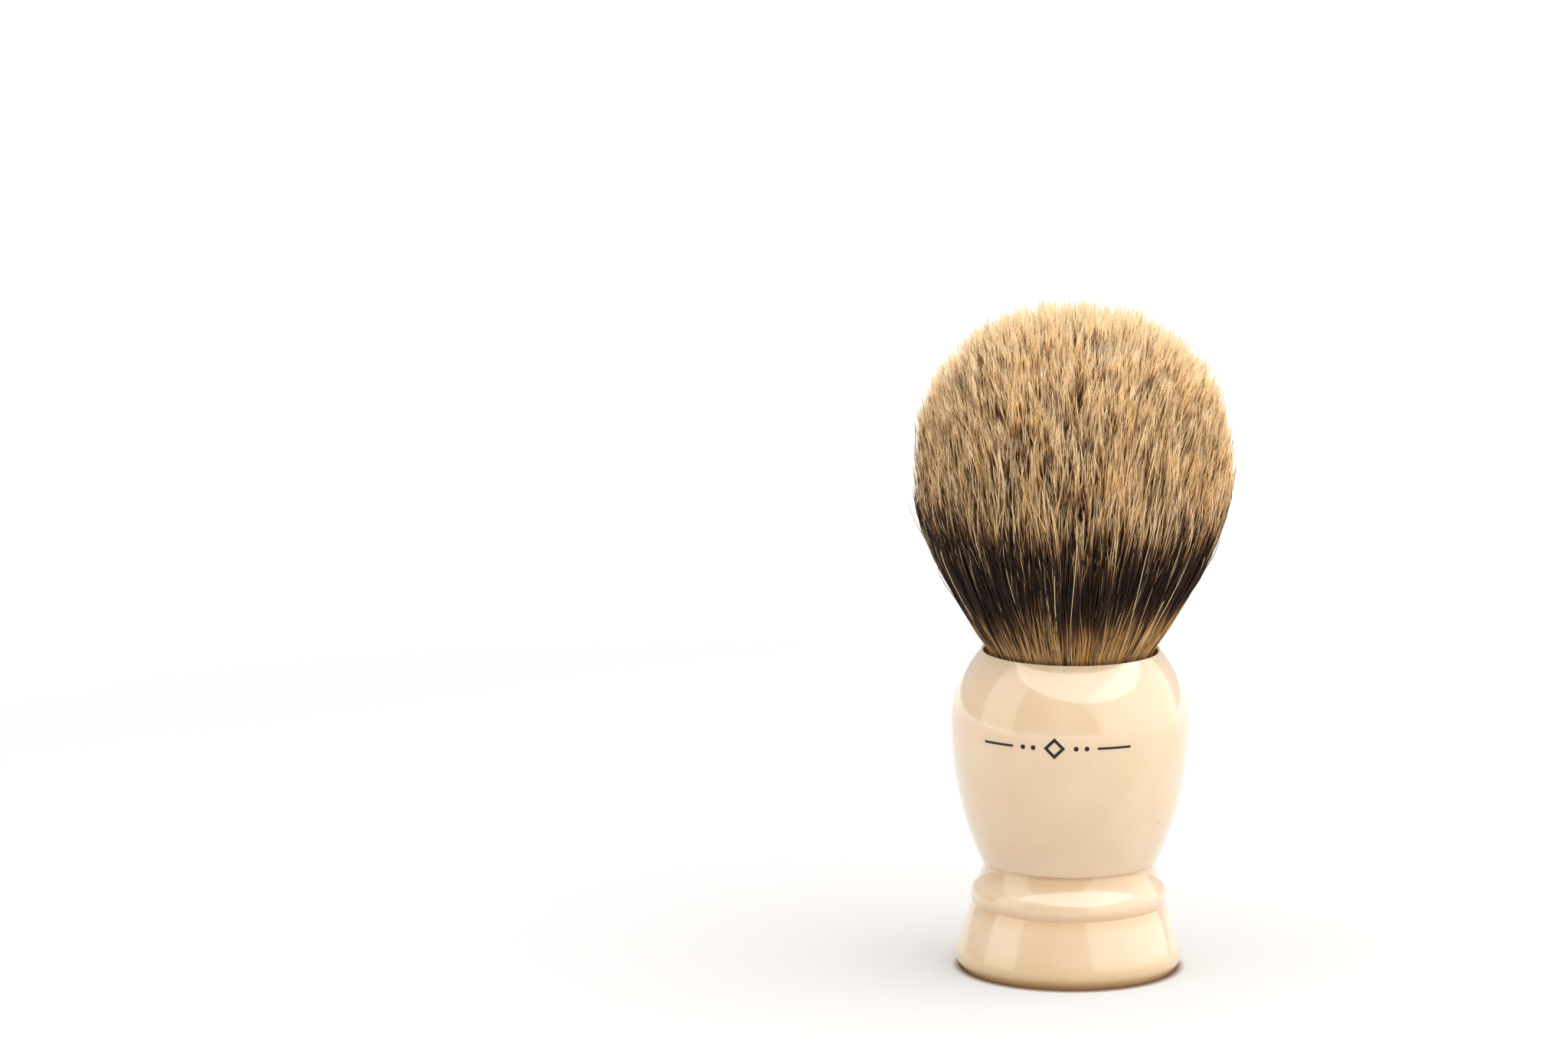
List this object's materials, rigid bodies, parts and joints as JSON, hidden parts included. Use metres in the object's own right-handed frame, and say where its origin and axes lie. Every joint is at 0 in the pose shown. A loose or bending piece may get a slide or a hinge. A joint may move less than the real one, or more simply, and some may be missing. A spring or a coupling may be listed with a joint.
{
  "type": "shaving brush",
  "caption": "Wet-shaving brush: a turned cream resin handle with a waisted foot, and a bulb-shaped knot of banded badger hair bonded into its socket.",
  "frame": {"origin": "centre of the foot's standing face, on the brush's axis", "axes": "+Z along the brush's axis from the foot to the tips of the hair; -Y is the front, which carries the ornament"},
  "size_m": [0.048, 0.048, 0.1001],
  "materials": {
    "handle_resin": "polished cast resin in a faux-ivory cream, with faint mottling",
    "inlay_ink": "near-black ink set into a shallow engraving",
    "adhesive": "cured clear amber adhesive",
    "thread": "waxed linen thread",
    "plug_resin": "cast resin, poured round the butts of the hair",
    "badger_hair": "natural badger hair: golden at the root, near-black in a band, cream at the tips"
  },
  "bodies": {
    "root": {"handle": "handle_resin", "ornament_inlay": "inlay_ink", "adhesive_bed": "adhesive", "binding_thread": "thread", "knot_plug": "plug_resin", "hair_bundle": "badger_hair"}
  },
  "joints": []
}
